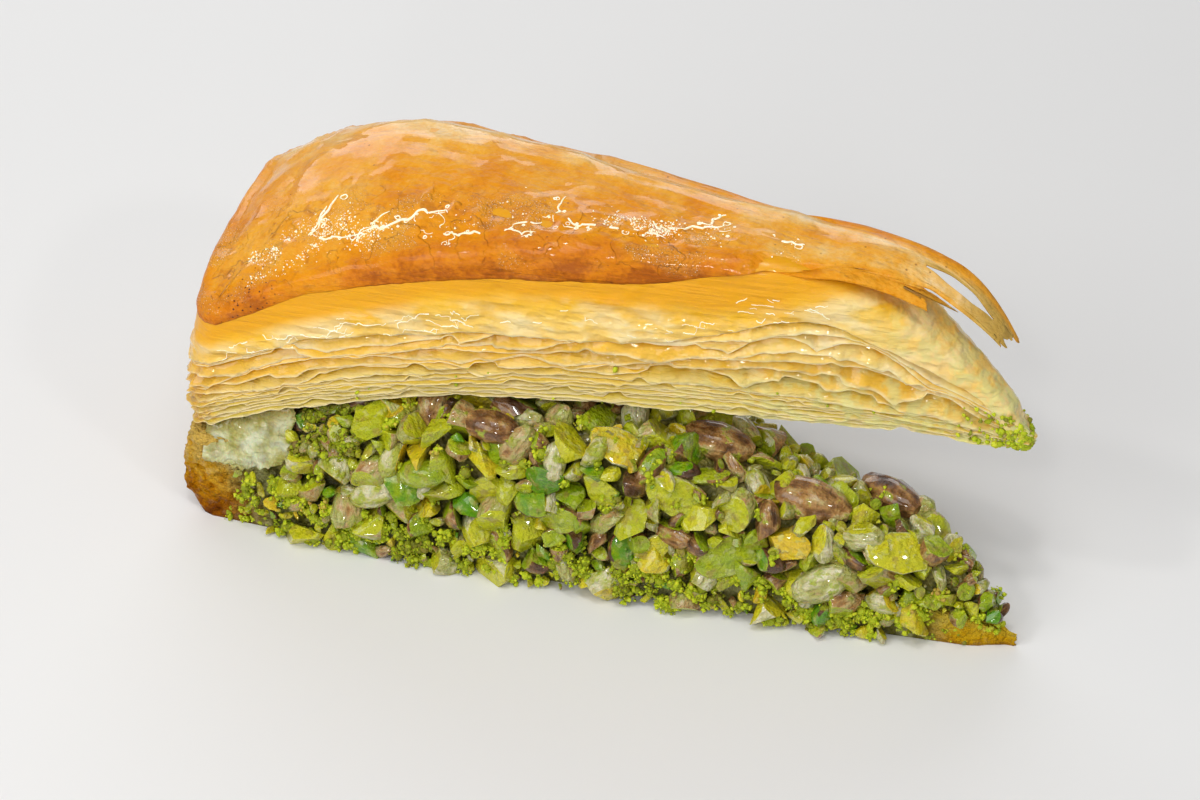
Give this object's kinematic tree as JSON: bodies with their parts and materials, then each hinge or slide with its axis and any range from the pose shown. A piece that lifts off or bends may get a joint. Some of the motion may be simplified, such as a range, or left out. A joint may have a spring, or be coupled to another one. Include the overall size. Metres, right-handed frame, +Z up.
{
  "type": "baklava piece",
  "caption": "Long wedge of pistachio baklava: a thin soaked filo base with an upturned rim, a thick bed of chopped pistachios, and a puffed browned filo lid arched over them with a torn tip.",
  "frame": {"origin": "centre of the slice's bounding box in plan, at the height of the table it lies on", "axes": "+X from the wide end to the tip, +Y across the slice away from the nearer cut face, +Z up"},
  "size_m": [0.1534, 0.0526, 0.0705],
  "materials": {
    "soaked_filo": "syrup-soaked filo, browned and rough at the wide end, amber and sticky at the tip",
    "pistachio": "chopped green pistachios under a thin coat of syrup, with fine crumbs on the cut faces",
    "golden_filo": "glossy golden brown top leaves over pale yellow layers"
  },
  "bodies": {
    "root": {"base_pastry": "soaked_filo", "pistachio_filling": "pistachio", "pastry_lid": "golden_filo"}
  },
  "joints": []
}
